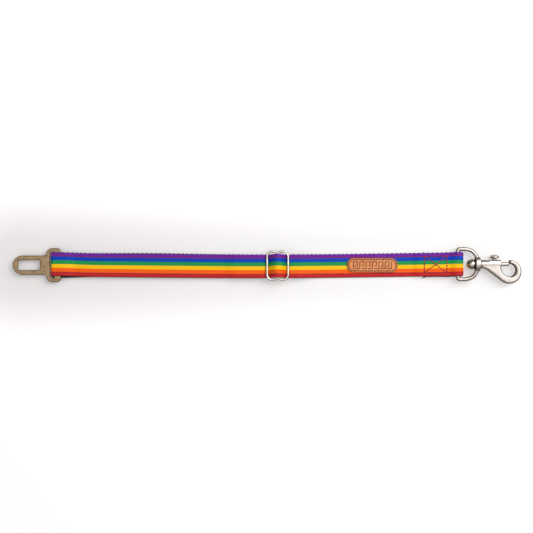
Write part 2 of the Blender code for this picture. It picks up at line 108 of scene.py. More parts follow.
def mesh_from(name, vertices, faces, edges=()):
    mesh = bpy.data.meshes.new(name)
    mesh.from_pydata([tuple(v) for v in vertices], list(edges), faces)
    mesh.update()
    return mesh


def linked(name, work):
    """An object made from a finished bmesh."""
    mesh = bpy.data.meshes.new(name)
    work.to_mesh(mesh)
    work.free()
    return link(name, mesh)


def cleaned(mesh, merge=0.0, outward=True):
    """The mesh with corners closer than merge made one, and its faces turned outward."""
    work = bmesh.new()
    work.from_mesh(mesh)
    if merge:
        bmesh.ops.remove_doubles(work, verts=work.verts, dist=merge)
    if outward:
        bmesh.ops.recalc_face_normals(work, faces=work.faces)
    work.to_mesh(mesh)
    work.free()
    return mesh


def ring_faces(rings, count):
    """Faces of a closed skin over rings of count corners each, with both ends shut."""
    faces = []
    for i in range(rings - 1):
        for k in range(count):
            n = (k + 1) % count
            faces.append((i * count + k, i * count + n, (i + 1) * count + n, (i + 1) * count + k))
    faces.append(tuple(reversed(range(count))))
    faces.append(tuple(range((rings - 1) * count, rings * count)))
    return faces


def paint(mesh, **layers):
    """Stores a number for each corner under each name, for a look to read."""
    for name, values in layers.items():
        mesh.attributes.new(name, "FLOAT", "POINT").data.foreach_set("value", values)


def smooth_by_angle(obj, degrees=35):
    obj.data.shade_smooth()
    obj.data.set_sharp_from_angle(angle=math.radians(degrees))


def applied(obj):
    """The object as its modifiers leave it, as a plain mesh in the scene's own frame."""
    bpy.context.view_layer.update()
    graph = bpy.context.evaluated_depsgraph_get()
    mesh = bpy.data.meshes.new_from_object(obj.evaluated_get(graph), depsgraph=graph)
    mesh.transform(obj.matrix_world)
    name = obj.name
    bpy.data.objects.remove(obj, do_unlink=True)
    return link(name, mesh)


def smooth_step(t):
    t = min(max(t, 0.0), 1.0)
    return t * t * (3 - 2 * t)


def bell(distance, width):
    return math.exp(-((distance / width) ** 2))


# ---------------- nodes


def feed(tree, socket, value):
    """Links a socket to another one, or sets its value. A colour can be three numbers."""
    if isinstance(value, bpy.types.NodeSocket):
        tree.links.new(value, socket)
    elif isinstance(value, tuple) and len(value) == 3 and socket.type == "RGBA":
        socket.default_value = (*value, 1.0)
    else:
        socket.default_value = value


def add_node(tree, kind, inputs=None, **properties):
    """A new node with its properties set and its inputs fed."""
    made = tree.nodes.new(kind)
    for name, value in properties.items():
        setattr(made, name, value)
    for name, value in (inputs or {}).items():
        feed(tree, made.inputs[name], value)
    return made


def colour_ramp(tree, value, stops):
    made = add_node(tree, "ShaderNodeValToRGB", {"Fac": value})
    elements = made.color_ramp.elements
    while len(elements) < len(stops):
        elements.new(0.5)
    for element, (position, colour) in zip(elements, stops):
        element.position = position
        element.color = (*colour, 1.0)
    return made.outputs["Color"]


def colour_mix(tree, share, a, b, blend="MIX"):
    made = add_node(tree, "ShaderNodeMix", data_type="RGBA", blend_type=blend)
    for index, value in ((0, share), (6, a), (7, b)):
        feed(tree, made.inputs[index], value)
    return made.outputs[2]


def geometry_nodes(name):
    """A geometry node tree, and a call that adds a node to it and gives one of its outputs."""
    tree = bpy.data.node_groups.new(name, "GeometryNodeTree")
    for way in ("INPUT", "OUTPUT"):
        tree.interface.new_socket("Geometry", in_out=way, socket_type="NodeSocketGeometry")

    def add(kind, inputs=None, output=0, **properties):
        return add_node(tree, kind, inputs, **properties).outputs[output]

    return tree, add


class Look:
    """A material's node tree, with short calls for the nodes used here."""

    def __init__(self, name, **settings):
        self.material = bpy.data.materials.new(name)
        self.material.use_nodes = True
        self.tree = self.material.node_tree
        self.shader = self.tree.nodes["Principled BSDF"]
        for socket, value in settings.items():
            self.set(socket.replace("_", " ").title().replace("Ior", "IOR"), value)

    def set(self, socket, value):
        feed(self.tree, self.shader.inputs[socket], value)

    def add(self, kind, inputs=None, output=0, **properties):
        return add_node(self.tree, "ShaderNode" + kind, inputs, **properties).outputs[output]

    def math(self, operation, a, b=0.0, c=0.0):
        return self.add("Math", {0: a, 1: b, 2: c}, operation=operation)

    def attribute(self, name):
        return self.add("Attribute", output="Fac", attribute_name=name)

    def place(self):
        return self.add("TexCoord", output="Object")

    def axis(self, vector, letter):
        return self.add("SeparateXYZ", {0: vector}, output=letter)

    def combine(self, x, y, z):
        return self.add("CombineXYZ", {"X": x, "Y": y, "Z": z})

    def noise(self, vector, scale, detail=2.0, roughness=0.5):
        inputs = {"Vector": vector, "Scale": scale, "Detail": detail, "Roughness": roughness}
        return self.add("TexNoise", inputs)

    def wave(self, value, pitch):
        """A smooth 0 to 1 wave of a length, with the pitch in metres."""
        turned = self.math("MULTIPLY", value, 2 * math.pi / pitch)
        return self.math("MULTIPLY_ADD", self.math("SINE", turned), 0.5, 0.5)

    def rise(self, value, low, high, kind="SMOOTHSTEP"):
        """From 0 where the value is low to 1 where it is high."""
        inputs = {"Value": value, "From Min": low, "From Max": high}
        return self.add("MapRange", inputs, interpolation_type=kind)

    def ramp(self, value, stops):
        return colour_ramp(self.tree, value, stops)

    def mix(self, share, a, b, blend="MIX"):
        return colour_mix(self.tree, share, a, b, blend)

    def bump(self, height, distance, strength=1.0):
        self.set("Normal", self.add("Bump", {"Height": height, "Distance": distance, "Strength": strength}))


# ---------------- materials


def linear(r, g, b):
    """A display colour from 0 to 255 as linear light."""
    out = []
    for channel in (r, g, b):
        c = channel / 255
        out.append(c / 12.92 if c <= 0.04045 else ((c + 0.055) / 1.055) ** 2.4)
    return tuple(out)


STRIPES = (
    linear(110, 30, 160),
    linear(0, 64, 186),
    linear(30, 150, 76),
    linear(255, 198, 8),
    linear(252, 98, 14),
    linear(200, 32, 36),
)
STRIPE_BLUR = 0.004
RIBBON_WIDTH = 23.8 * MM
WEFT = 1.15 * MM
WARP = 0.95 * MM


def woven_place(look, stretchy):
    """Distance along and across the strap. A length that feeds takes it from its place instead."""
    along = look.axis(look.place(), "X") if stretchy else look.attribute("along")
    return along, look.attribute("across")


def webbing_look(name, stretchy):
    look = Look(name, roughness=0.8, sheen_weight=0.25, sheen_roughness=0.5)
    along, across = woven_place(look, stretchy)
    flat = look.combine(along, across, 0.0)
    cloth = look.math("MULTIPLY", look.wave(along, WEFT), look.wave(across, WARP))
    fibre = look.noise(flat, 4500.0, 3.0)
    look.bump(look.math("MULTIPLY_ADD", fibre, 0.35, cloth), 0.25 * MM, 0.9)
    patches = look.math("MULTIPLY", look.noise(flat, 90.0), 0.5)
    shade = look.math("MULTIPLY_ADD", cloth, 0.5, patches)
    black, charcoal = (0.004, 0.004, 0.005), (0.020, 0.020, 0.024)
    look.set("Base Color", look.ramp(shade, [(0.1, black), (0.9, charcoal)]))
    return look.material


def ribbon_look(name, stretchy):
    look = Look(name, specular_ior_level=0.15)
    along, across = woven_place(look, stretchy)
    weave = look.noise(look.combine(look.math("MULTIPLY", along, 0.3), across, 0.0), 1400.0)
    wobble = look.math("MULTIPLY", look.math("SUBTRACT", weave, 0.5), 0.010)
    share = look.math("SUBTRACT", 0.5, look.math("DIVIDE", across, RIBBON_WIDTH))
    stops = []
    for i, colour in enumerate(STRIPES):
        stops.append((i / len(STRIPES) + STRIPE_BLUR, colour))
        stops.append(((i + 1) / len(STRIPES) - STRIPE_BLUR, colour))
    colour = look.ramp(look.math("ADD", share, wobble), stops[1:-1])
    streak = look.noise(look.combine(look.math("MULTIPLY", along, 0.02), across, 0.0), 900.0, 3.0, 0.6)
    grain = look.noise(look.combine(along, across, 0.0), 2600.0)
    tone = look.math("MULTIPLY_ADD", streak, 0.34, look.math("MULTIPLY_ADD", grain, 0.16, 0.75))
    look.set("Base Color", look.mix(1.0, colour, look.combine(tone, tone, tone), "MULTIPLY"))
    ribs = look.wave(along, 0.55 * MM)
    yarns = look.wave(across, 0.34 * MM)
    height = look.math("MULTIPLY_ADD", yarns, 0.35, ribs)
    look.bump(look.math("MULTIPLY_ADD", grain, 0.5, height), 0.05 * MM, 0.8)
    look.set("Roughness", look.math("MULTIPLY_ADD", grain, 0.2, 0.27))
    return look.material


def thread_look(name, dark, light):
    look = Look(name, roughness=0.6, sheen_weight=0.2)
    place = look.place()
    ply = look.wave(look.math("ADD", look.axis(place, "X"), look.axis(place, "Y")), 0.36 * MM)
    look.set("Base Color", look.mix(ply, dark, light))
    fuzz = look.noise(place, 6000.0)
    look.bump(look.math("MULTIPLY_ADD", fuzz, 0.4, ply), 0.08 * MM)
    return look.material


def leather_look(name):
    look = Look(name, specular_ior_level=0.35)
    place = look.place()
    mottle = look.noise(place, 160.0, 4.0, 0.6)
    base = look.ramp(mottle, [(0.3, linear(214, 122, 66)), (0.7, linear(246, 164, 104))])
    edge = look.attribute("edge")
    base = look.mix(edge, base, linear(150, 78, 34))
    base = look.mix(look.attribute("burn"), base, linear(84, 52, 38))
    look.set("Base Color", base)
    pebbles = look.add("TexVoronoi", {"Vector": place, "Scale": 1500.0}, feature="SMOOTH_F1")
    fine = look.noise(place, 3200.0, 3.0)
    look.bump(look.math("MULTIPLY_ADD", fine, 0.6, pebbles), 0.06 * MM, 0.8)
    look.set("Roughness", look.math("MULTIPLY_ADD", mottle, 0.2, 0.42))
    return look.material


# painted shade on metal edges: the share of red, green and blue that a darkened edge keeps
PAINTED_SHADE_TINT = (0.26, 0.235, 0.20)  # what an edge keeps of red, green and blue


def metal_look(name, light, dark, roughness, grain_scale, grain_height, painted_edge_shade=0.0, spread=0.1):
    """Plated metal: cloudy plating, a grain in its surface, and a painted shade that darkens edges and sides
    seen at a slant, standing for darker surroundings reflected there.
    """
    look = Look(name, metallic=1.0)
    light, dark = linear(*light), linear(*dark)
    place = look.place()
    cloud = look.noise(place, 260.0, 3.0, 0.55)
    colour = look.ramp(cloud, [(0.3, dark), (0.7, light)])
    if painted_edge_shade:
        # painted shade: the colour darkens towards edges and sides seen at a slant, less where the surface
        # faces up
        facing = look.add("LayerWeight", {"Blend": 0.5}, output="Facing")
        side = look.math("POWER", look.rise(facing, 0.01, 0.45, "LINEAR"), 0.6)
        upward = look.math("ABSOLUTE", look.axis(look.add("TexCoord", output="Normal"), "Z"))
        shade = look.math("MULTIPLY_ADD", look.rise(upward, 0.86, 1.0), -painted_edge_shade, painted_edge_shade)
        deep = tuple(level * tint for level, tint in zip(dark, PAINTED_SHADE_TINT))
        colour = look.mix(look.math("MULTIPLY", side, shade), colour, deep)
        look.set("Specular Tint", tuple(level * 0.5 for level in dark))
    look.set("Base Color", colour)
    look.bump(look.noise(place, grain_scale, 3.0), grain_height)
    look.set("Roughness", look.math("MULTIPLY_ADD", cloud, spread, roughness - spread / 2))
    return look.material


WEBBING = {kind: webbing_look("webbing_black_" + kind, kind == "fed") for kind in ("fixed", "fed")}
RIBBON = {kind: ribbon_look("ribbon_striped_" + kind, kind == "fed") for kind in ("fixed", "fed")}
THREAD_RED = thread_look("thread_red", linear(112, 8, 26), linear(186, 26, 62))
THREAD_BROWN = thread_look("thread_brown", linear(52, 28, 18), linear(90, 50, 32))
LEATHER = leather_look("leather_tan")
TONGUE_STEEL = metal_look(
    "steel_yellow_zinc", (180, 154, 118), (144, 121, 90), 0.42, 900.0, 0.12 * MM, painted_edge_shade=0.9
)
BRIGHT = metal_look(
    "nickel_bright", (252, 250, 242), (240, 237, 226), 0.30, 1500.0, 0.01 * MM, painted_edge_shade=0.85, spread=0.06
)
SATIN = metal_look(
    "nickel_satin", (202, 193, 188), (187, 177, 169), 0.34, 1800.0, 0.02 * MM, painted_edge_shade=0.78
)
TURNED = metal_look(
    "nickel_turned", (226, 217, 209), (212, 202, 193), 0.30, 1500.0, 0.01 * MM, painted_edge_shade=0.45
)
POLISHED = metal_look(
    "nickel_polished", (220, 208, 196), (204, 192, 178), 0.10, 1500.0, 0.01 * MM, painted_edge_shade=0.7, spread=0.05
)
SPRING_STEEL = metal_look("spring_steel", (190, 190, 190), (150, 150, 150), 0.3, 3000.0, 0.02 * MM)


# ---------------- the strap's course

WEB_THICK = 1.5 * MM
WEB_HALF = 12.2 * MM
RIBBON_NEAR, RIBBON_FAR = 1.5 * MM, 2.05 * MM
SEAM_ACROSS = 8.6 * MM
STITCH = 3.1 * MM
SCALLOP = 4.7 * MM
SELVEDGE = 0.45 * MM  # how far the plain edge is drawn in
RING_STEP = 0.6 * MM
SEAM_OVER = 0.05 * MM  # how far a length runs into the next


def side_outline(node):
    """Corners of a strip's side face in order, as (x, z)."""
    work = bmesh.new()
    work.from_mesh(NODES[node].data)
    bmesh.ops.remove_doubles(work, verts=work.verts, dist=1e-6)
    reach = max(v.co.y for v in work.verts)
    side = {v for v in work.verts if v.co.y > reach - 1e-5}
    after = {}
    for edge in work.edges:
        if side.issuperset(edge.verts) and not all(side.issuperset(face.verts) for face in edge.link_faces):
            a, b = edge.verts
            after.setdefault(a, []).append(b)
            after.setdefault(b, []).append(a)
    here = min(after, key=lambda v: (round(v.co.x, 6), round(v.co.z, 6)))
    loop, last = [], None
    while here not in loop:
        loop.append(here)
        here, last = next(v for v in after[here] if v is not last), here
    points = [Vector((v.co.x, v.co.z)) for v in loop]
    work.free()
    return points


def cut_ends(points):
    """Indices i where the edge from point i to i + 1 is one of the strip's two square ends."""
    found = []
    for i, a in enumerate(points):
        b, beyond = points[(i + 1) % len(points)], points[(i + 2) % len(points)]
        across = (b - a).normalized()
        sides = ((a - points[i - 1]).normalized(), (beyond - b).normalized())
        if abs((b - a).length - WEB_THICK) < 0.02 * MM and all(abs(across.dot(s)) < 0.03 for s in sides):
            found.append(i)
    return found


def inner_line(name):
    """The webbing's inner face as a polyline, and which side of it the ribbon is on (+1 right, -1 left)."""
    points = side_outline("webbing_" + name)
    one, two = cut_ends(points)
    first = points[one + 1 : two + 1]
    second = [points[i % len(points)] for i in range(two + 1, one + 1 + len(points))]
    ribbon = side_outline("ribbon_" + name)

    def apart(line):
        return sum(min((p - q).length for q in ribbon) for p in line) / len(line)

    inner = first if apart(first) > apart(second) else second
    outer = second if inner is first else first
    along = (inner[1] - inner[0]).normalized()
    nearest = min(outer, key=lambda p: (p - inner[0]).length)
    right = Vector((along.y, -along.x))
    return inner, 1 if right.dot(nearest - inner[0]) > 0 else -1


def catmull(points, step):
    """Even points on a smooth curve through a polyline whose ends keep their direction."""
    spacing, cuts = 2.2 * MM, 8
    fine = [points[0]]
    for a, b in zip(points, points[1:]):
        pieces = max(1, round((b - a).length / spacing))
        fine += [a.lerp(b, (i + 1) / pieces) for i in range(pieces)]
    ghost = [fine[0] * 2 - fine[1]] + fine + [fine[-1] * 2 - fine[-2]]
    dense = []
    for i in range(1, len(ghost) - 2):
        p0, p1, p2, p3 = ghost[i - 1 : i + 3]
        for k in range(cuts):
            t = k / cuts
            dense.append(
                (p1 * 2 + (p2 - p0) * t + (p0 * 2 - p1 * 5 + p2 * 4 - p3) * t**2
                 + (p1 * 3 - p0 - p2 * 3 + p3) * t**3) / 2
            )
    dense.append(fine[-1])
    lengths = [0.0]
    for a, b in zip(dense, dense[1:]):
        lengths.append(lengths[-1] + (b - a).length)
    count = max(2, round(lengths[-1] / step))
    out, at = [], 0
    for i in range(count + 1):
        want = lengths[-1] * i / count
        while at < len(dense) - 2 and lengths[at + 1] < want:
            at += 1
        span = lengths[at + 1] - lengths[at]
        out.append(dense[at].lerp(dense[at + 1], (want - lengths[at]) / span if span else 0))
    return out


LOOP_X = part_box("webbing_upper_run")[0].x
RIGHT_X, EYE_X = (corner.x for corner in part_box("webbing_eye_end"))
CREST_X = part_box("adjuster_centre_bar")[0].lerp(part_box("adjuster_centre_bar")[1], 0.5).x


def bow(x, layer=0.0):
    """How far to one side the strap lies; layer is 0 on top and 1 where it is folded underneath."""
    share = min(max((x - LOOP_X) / (EYE_X - LOOP_X), 0), 1)
    droop = -1.65 * MM * math.sin(math.pi * share) ** 1.5
    crest = 0.8 * MM * bell(x - CREST_X, 5 * MM)
    at_tongue = 1.15 * MM * bell(x - 14 * MM, 24 * MM) * (1 - 1.7 * layer)
    at_eye = (0.5 - 0.9 * layer) * MM * smooth_step((x - EYE_X + 26 * MM) / (22 * MM))
    under = smooth_step((x - RIGHT_X) / (30 * MM)) * smooth_step((EYE_X - 8 * MM - x) / (8 * MM))
    tucked = -0.5 * MM * layer * under
    return droop + crest + at_tongue + at_eye + tucked


def lower_sway(x, layer=1.0):
    """The lower layer lies slightly to one side of the upper between its two sewn ends."""
    low, high = LOOP_X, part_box("webbing_lower_run")[1].x
    share = min(max((x - low) / (high - low), 0), 1)
    return bow(x, 1.0 - share) + 0.7 * MM * math.sin(math.pi * share) ** 2


class Course:
    """One length of the strap: points on the webbing's inner face with their outward direction."""

    def __init__(self, name, sway=bow, free_start=False, free_end=False, folds=False):
        line, side = inner_line(name)
        start = (line[0] - line[1]).normalized() * (0 if free_start else SEAM_OVER)
        end = (line[-1] - line[-2]).normalized() * (0 if free_end else SEAM_OVER)
        line = [line[0] + start] + line[1:-1] + [line[-1] + end]
        self.points = catmull(line, RING_STEP)
        self.sway = sway
        self.outward, self.lengths = [], [0.0]
        for i, point in enumerate(self.points):
            a, b = self.points[max(i - 1, 0)], self.points[min(i + 1, len(self.points) - 1)]
            along = (b - a).normalized()
            self.outward.append(Vector((along.y, -along.x)) * side)
            if i:
                self.lengths.append(self.lengths[-1] + (point - self.points[i - 1]).length)
        self.layers = [smooth_step((1 - n.y) / 2) if folds else 0.0 for n in self.outward]

    def at(self, i, across, height):
        p, n = self.points[i], self.outward[i]
        side = across + self.sway(p.x, self.layers[i])
        return Vector((p.x + n.x * height, side, p.y + n.y * height))


def sweep(name, course, section, look):
    """A closed strip. section(s) gives its outline at length s as (across, height) pairs."""
    vertices, across, along = [], [], []
    for i, length in enumerate(course.lengths):
        for a, h in section(length):
            vertices.append(course.at(i, a, h))
            across.append(a)
            along.append(length + course.points[0].x)
    mesh = mesh_from(name, vertices, ring_faces(len(course.lengths), len(section(0.0))))
    paint(mesh, across=across, along=along)
    obj = link(name, cleaned(mesh), look)
    smooth_by_angle(obj, 50)
    return obj


def webbing_section(flare):
    """Webbing with rounded selvedges, scalloped by its weft along the upper edge."""
    edge_steps, flat_steps = 6, 6
    roundness, flat_share = 0.85, 0.94

    def section(s):
        scallop = 0.5 * MM * max(0.0, math.sin(2 * math.pi * s / SCALLOP)) ** 0.7
        rib = 0.05 * MM * math.sin(2 * math.pi * s / WEFT)
        wide = flare(s)
        out = []
        for side, proud, face in ((1, scallop + rib + wide, WEB_THICK), (-1, SELVEDGE + wide - rib, 0.0)):
            for i in range(edge_steps + 1):
                angle = math.pi * (i / edge_steps - side / 2)
                bulge = side * math.cos(angle)
                reach = WEB_HALF - WEB_THICK / 2 + (roundness * WEB_THICK / 2 + proud) * bulge
                out.append((side * reach, WEB_THICK / 2 * (1 + math.sin(angle))))
            for i in range(1, flat_steps):
                out.append((side * WEB_HALF * (1 - 2 * i / flat_steps) * flat_share, face))
        return out

    return section


def ribbon_section(seed):
    """Ribbon drawn down along its two seams, puckered between stitches and lightly rippled."""
    half = RIBBON_WIDTH / 2
    top_steps, under_steps = 34, 6

    def lift(a, s):
        past_seam = abs(a) - SEAM_ACROSS
        pull = bell(past_seam, 0.7 * MM)
        beat = 0.5 + 0.5 * math.cos(2 * math.pi * s / STITCH)
        drawn = -(0.10 + 0.10 * beat) * MM * pull
        ripple = 0.05 * MM * (1 - 2 * beat) * smooth_step(past_seam / (2.2 * MM))
        swell = noise.noise(Vector((s / (17 * MM), a / (9 * MM), seed))) * 0.12 * MM
        return drawn + ripple + swell * (1 - pull)

    def section(s):
        out = []
        for i in range(top_steps + 1):
            a = half * (1 - 2 * i / top_steps)
            round_off = 0.16 * MM * smooth_step((abs(a) - half + 0.5 * MM) / (0.5 * MM))
            out.append((a, RIBBON_FAR + lift(a, s) - round_off))
        for i in range(under_steps + 1):
            out.append((half * (2 * i / under_steps - 1), RIBBON_NEAR + 0.02 * MM))
        return out

    return section


# ---------------- threads


def thread_nodes(name, radius, pitch, look, out=None):
    """Turns a seam's line into separate stitches of even pitch that dive into the cloth between them."""
    tree, add = geometry_nodes(name)

    def number(operation, a, b=0.0, c=0.0):
        return add("ShaderNodeMath", {0: a, 1: b, 2: c}, operation=operation)

    def vector(operation, inputs):
        return add("ShaderNodeVectorMath", inputs, operation=operation)

    curve = add("GeometryNodeMeshToCurve", {"Mesh": add("NodeGroupInput")})
    even = add("GeometryNodeResampleCurve", {"Curve": curve, "Length": pitch / 12}, mode="LENGTH")
    length = add("GeometryNodeSplineParameter", output="Length")
    phase = number("FRACT", number("DIVIDE", length, pitch))
    hill = number("SINE", number("MULTIPLY", phase, math.pi))
    plateau = number("MINIMUM", number("MAXIMUM", number("MULTIPLY_ADD", hill, 2.6, -1.05), 0.0), 1.0)
    height = number("MULTIPLY_ADD", plateau, radius * 1.9, -radius * 1.45)
    tangent = add("GeometryNodeInputTangent")
    outward = tuple(out) if out else vector("CROSS_PRODUCT", {0: (0.0, 1.0, 0.0), 1: tangent})
    outward = vector("NORMALIZE", {0: outward})
    sideways = vector("CROSS_PRODUCT", {0: tangent, 1: outward})
    lean = number("MULTIPLY", number("SUBTRACT", phase, 0.5), radius * 0.5)
    up = vector("SCALE", {0: outward, 3: height})
    over = vector("SCALE", {0: sideways, 3: lean})
    shift = vector("ADD", {0: up, 1: over})
    moved = add("GeometryNodeSetPosition", {"Geometry": even, "Offset": shift})
    ring = add("GeometryNodeCurvePrimitiveCircle", {"Resolution": 8, "Radius": radius})
    solid = add("GeometryNodeCurveToMesh", {"Curve": moved, "Profile Curve": ring, "Fill Caps": True})
    smooth = add("GeometryNodeSetShadeSmooth", {"Geometry": solid})
    painted = add("GeometryNodeSetMaterial", {"Geometry": smooth, "Material": look})
    add_node(tree, "NodeGroupOutput", {0: painted})
    return tree


EDGE_STITCH = thread_nodes("edge_stitch", 0.42 * MM, STITCH, THREAD_RED)


def seam_line(name, points, edges, tree, look):
    obj = link(name, mesh_from(name, points, [], edges), look)
    obj.modifiers.new("Stitches", "NODES").node_group = tree
    return obj


def edge_seam(name, course, across):
    """A row of stitches along the strap. Its line runs so that the ribbon is to the right of travel."""
    points = [course.at(i, across, RIBBON_FAR - 0.12 * MM) for i in range(len(course.points))]
    along = course.points[1] - course.points[0]
    if Vector((along.y, -along.x)).dot(course.outward[0]) < 0:
        points.reverse()
    edges = [(i, i + 1) for i in range(len(points) - 1)]
    return seam_line(name, points, edges, EDGE_STITCH, THREAD_RED)


# ---------------- strap pieces


def stand_for(obj, node, slot, body=None):
    """Hides the CAD node a piece stands for and puts the piece on the body it rides, if one is given. The
    finish it can take (slot) is not used.
    """
    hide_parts(node)
    if body:
        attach(obj, body)


def carry(obj, kind, *motion):
    """Puts a length that rides one body on that body; for a length that turns or feeds, its placing is only
    made part of its mesh.
    """
    if kind == "ride":
        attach(obj, *motion)
        return
    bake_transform(obj)


RAMP_X = 183 * MM  # where the two long runs start to rise to the adjuster
BAR_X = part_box("tongue_plate")[1].x
FEED_X = [corner.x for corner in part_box("webbing_right_run")]

# how each length moves, and how it lies
LENGTHS = {
    "eye_end": (("ride", "strap"), {"free_start": True, "folds": True}),
    "right_run": (("feed", "adjuster", "strap", *FEED_X), {}),
    "hump": (("ride", "adjuster"), {}),
    "upper_run": (("feed", "tongue_end", "adjuster", LOOP_X, RAMP_X), {}),
    "tongue_loop": (("turn", "tongue_end", "tongue", LOOP_X, BAR_X), {"folds": True}),
    "lower_run": (("feed", "tongue_end", "adjuster", LOOP_X, RAMP_X), {"sway": lower_sway}),
    "adjuster_loop": (("ride", "adjuster"), {"free_end": True}),
}


def spread(name, course):
    """How far the webbing's edges reach out or draw in at a distance along it."""
    whole, pinch, ease = course.lengths[-1], -0.35 * MM, 8 * MM
    if name == "eye_end":
        return lambda s: 1.1 * MM * bell(s, 1.9 * MM)
    if name == "hump":
        return lambda s: pinch * smooth_step(min(s, whole - s) / ease)
    if name == "adjuster_loop":
        return lambda s: pinch * smooth_step(s / ease)
    return lambda s: 0.0


def build_lengths():
    ripple_apart = 3.7
    for number, (name, (motion, lie)) in enumerate(LENGTHS.items()):
        course = Course(name, **lie)
        kind = "fed" if motion[0] == "feed" else "fixed"
        section = webbing_section(spread(name, course))
        webbing = sweep("strap_webbing_" + name, course, section, WEBBING[kind])
        ribbon = sweep("strap_ribbon_" + name, course, ribbon_section(number * ripple_apart), RIBBON[kind])
        violet = edge_seam("stitches_violet_" + name, course, SEAM_ACROSS)
        red = edge_seam("stitches_red_" + name, course, -SEAM_ACROSS)
        for obj, node, slot in (
            (webbing, "webbing_", "webbing"),
            (ribbon, "ribbon_", "ribbon"),
            (violet, "seam_violet_", "thread_red"),
            (red, "seam_red_", "thread_red"),
        ):
            carry(obj, *motion)
            stand_for(obj, node + name, slot)


# ---------------- outlines and solids


def arc(centre, radius, start, end, steps):
    points = []
    for i in range(steps + 1):
        angle = math.radians(start + (end - start) * i / steps)
        points.append(Vector((centre[0] + radius * math.cos(angle), centre[1] + radius * math.sin(angle))))
    return points


def joined(*stretches):
    path = []
    for stretch in stretches:
        for point in stretch:
            point = Vector(point)
            if not path or (point - path[-1]).length > 0.005 * MM:
                path.append(point)
    return path


def rounded_rectangle(x_range, half, radius, steps):
    left, right = x_range[0] + radius, x_range[1] - radius
    inset = half - radius
    return joined(
        arc((right, -inset), radius, -90, 0, steps),
        arc((right, inset), radius, 0, 90, steps),
        arc((left, inset), radius, 90, 180, steps),
        arc((left, -inset), radius, 180, 270, steps),
    )


def moved_loop(points, distance):
    """A closed outline with every side moved to its left by a distance."""
    out = []
    for i, point in enumerate(points):
        before, after = points[i - 1], points[(i + 1) % len(points)]
        a, b = (point - before).normalized(), (after - point).normalized()
        one, two = Vector((-a.y, a.x)), Vector((-b.y, b.x))
        middle = (one + two).normalized()
        out.append(point + middle * (distance / max(middle.dot(one), 0.5)))
    return out


def within(point, loop):
    """Whether a point lies inside a closed outline."""
    inside = False
    for a, b in zip(loop, loop[1:] + loop[:1]):
        if (a.y > point.y) != (b.y > point.y):
            if point.x < a.x + (point.y - a.y) / (b.y - a.y) * (b.x - a.x):
                inside = not inside
    return inside


def fill_cap(work, loops):
    """Triangles between the first loop of vertices and the others, which are holes."""
    corners, places, edges = [], [], []
    for loop in loops:
        edges += [(len(corners) + i, len(corners) + (i + 1) % len(loop)) for i in range(len(loop))]
        corners += loop
        places.append([vertex.co.xy / MM for vertex in loop])
    flat = sum(places, [])
    only_inside = 1
    for triangle in delaunay_2d_cdt(flat, edges, [], only_inside, 1e-6)[2]:
        middle = sum((flat[i] for i in triangle), Vector((0, 0))) / 3
        if not any(within(middle, hole) for hole in places[1:]):
            work.faces.new([corners[i] for i in triangle])


def plate(name, outlines, thickness, rounding, segments, z):
    """A plate with rounded edges from closed outlines; those after the first are holes."""
    work = bmesh.new()
    under, over = [], []
    for number, outline in enumerate(outlines):
        area = sum(a.x * b.y - b.x * a.y for a, b in zip(outline, outline[1:] + outline[:1]))
        loop = outline if area > 0 else outline[::-1]
        inward = -1 if number else 1
        rings = []
        for side in (-1, 1):
            for k in range(segments + 1):
                angle = math.pi / 2 * (k / segments if side > 0 else 1 - k / segments)
                inset = rounding * (1 - math.cos(angle))
                height = z + side * (thickness / 2 - rounding + rounding * math.sin(angle))
                ring = moved_loop(loop, inward * inset)
                rings.append([work.verts.new((p.x, p.y, height)) for p in ring])
        for lower, upper in zip(rings, rings[1:]):
            for i in range(len(loop)):
                n = (i + 1) % len(loop)
                work.faces.new((lower[i], lower[n], upper[n], upper[i]))
        under.append(rings[0])
        over.append(rings[-1])
    fill_cap(work, over)
    fill_cap(work, under)
    bmesh.ops.recalc_face_normals(work, faces=work.faces)
    return linked(name, work)


def tube(name, points, radius, cyclic=False, sides=6):
    """Round wire along a line of points."""
    curve = bpy.data.curves.new(name, "CURVE")
    curve.dimensions = "3D"
    curve.bevel_depth = radius
    curve.bevel_resolution = sides
    curve.use_fill_caps = not cyclic
    spline = curve.splines.new("POLY")
    spline.points.add(len(points) - 1)
    for point, place in zip(spline.points, points):
        point.co = (*place, 1)
    spline.use_cyclic_u = cyclic
    obj = applied(link(name, curve))
    cleaned(obj.data, 0.002 * MM, outward=False)
    return obj


def lathe(name, profile, place, steps=64, axis="X"):
    """A solid turned about an axis through place, from (distance along, radius) pairs."""
    vertices = []
    for along, radius in profile:
        for k in range(steps):
            angle = 2 * math.pi * k / steps
            a, b = radius * math.cos(angle), radius * math.sin(angle)
            vertices.append(place + (Vector((along, a, b)) if axis == "X" else Vector((b, along, a))))
    mesh = mesh_from(name, vertices, ring_faces(len(profile), steps))
    return link(name, cleaned(mesh, 0.001 * MM))


def cut(obj, tool, operation="DIFFERENCE"):
    change = obj.modifiers.new("Cut", "BOOLEAN")
    change.operation = operation
    change.object = tool
    change.solver = "EXACT"
    made = applied(obj)
    bpy.data.objects.remove(tool, do_unlink=True)
    return made


def finish_metal(obj, look, body, node, slot, angle):
    obj.data.materials.clear()
    obj.data.materials.append(look)
    smooth_by_angle(obj, angle)
    stand_for(obj, node, slot, body)


# ---------------- steel tongue

BLADE_HALF = 10.0 * MM
WINDOW_X = (-28.0 * MM, -5.0 * MM)
WINDOW_HALF = 5.2 * MM
HEAD_LEFT = 1.6 * MM
SLOT_X = (5.2 * MM, 9.8 * MM)
SLOT_HALF = 13.7 * MM


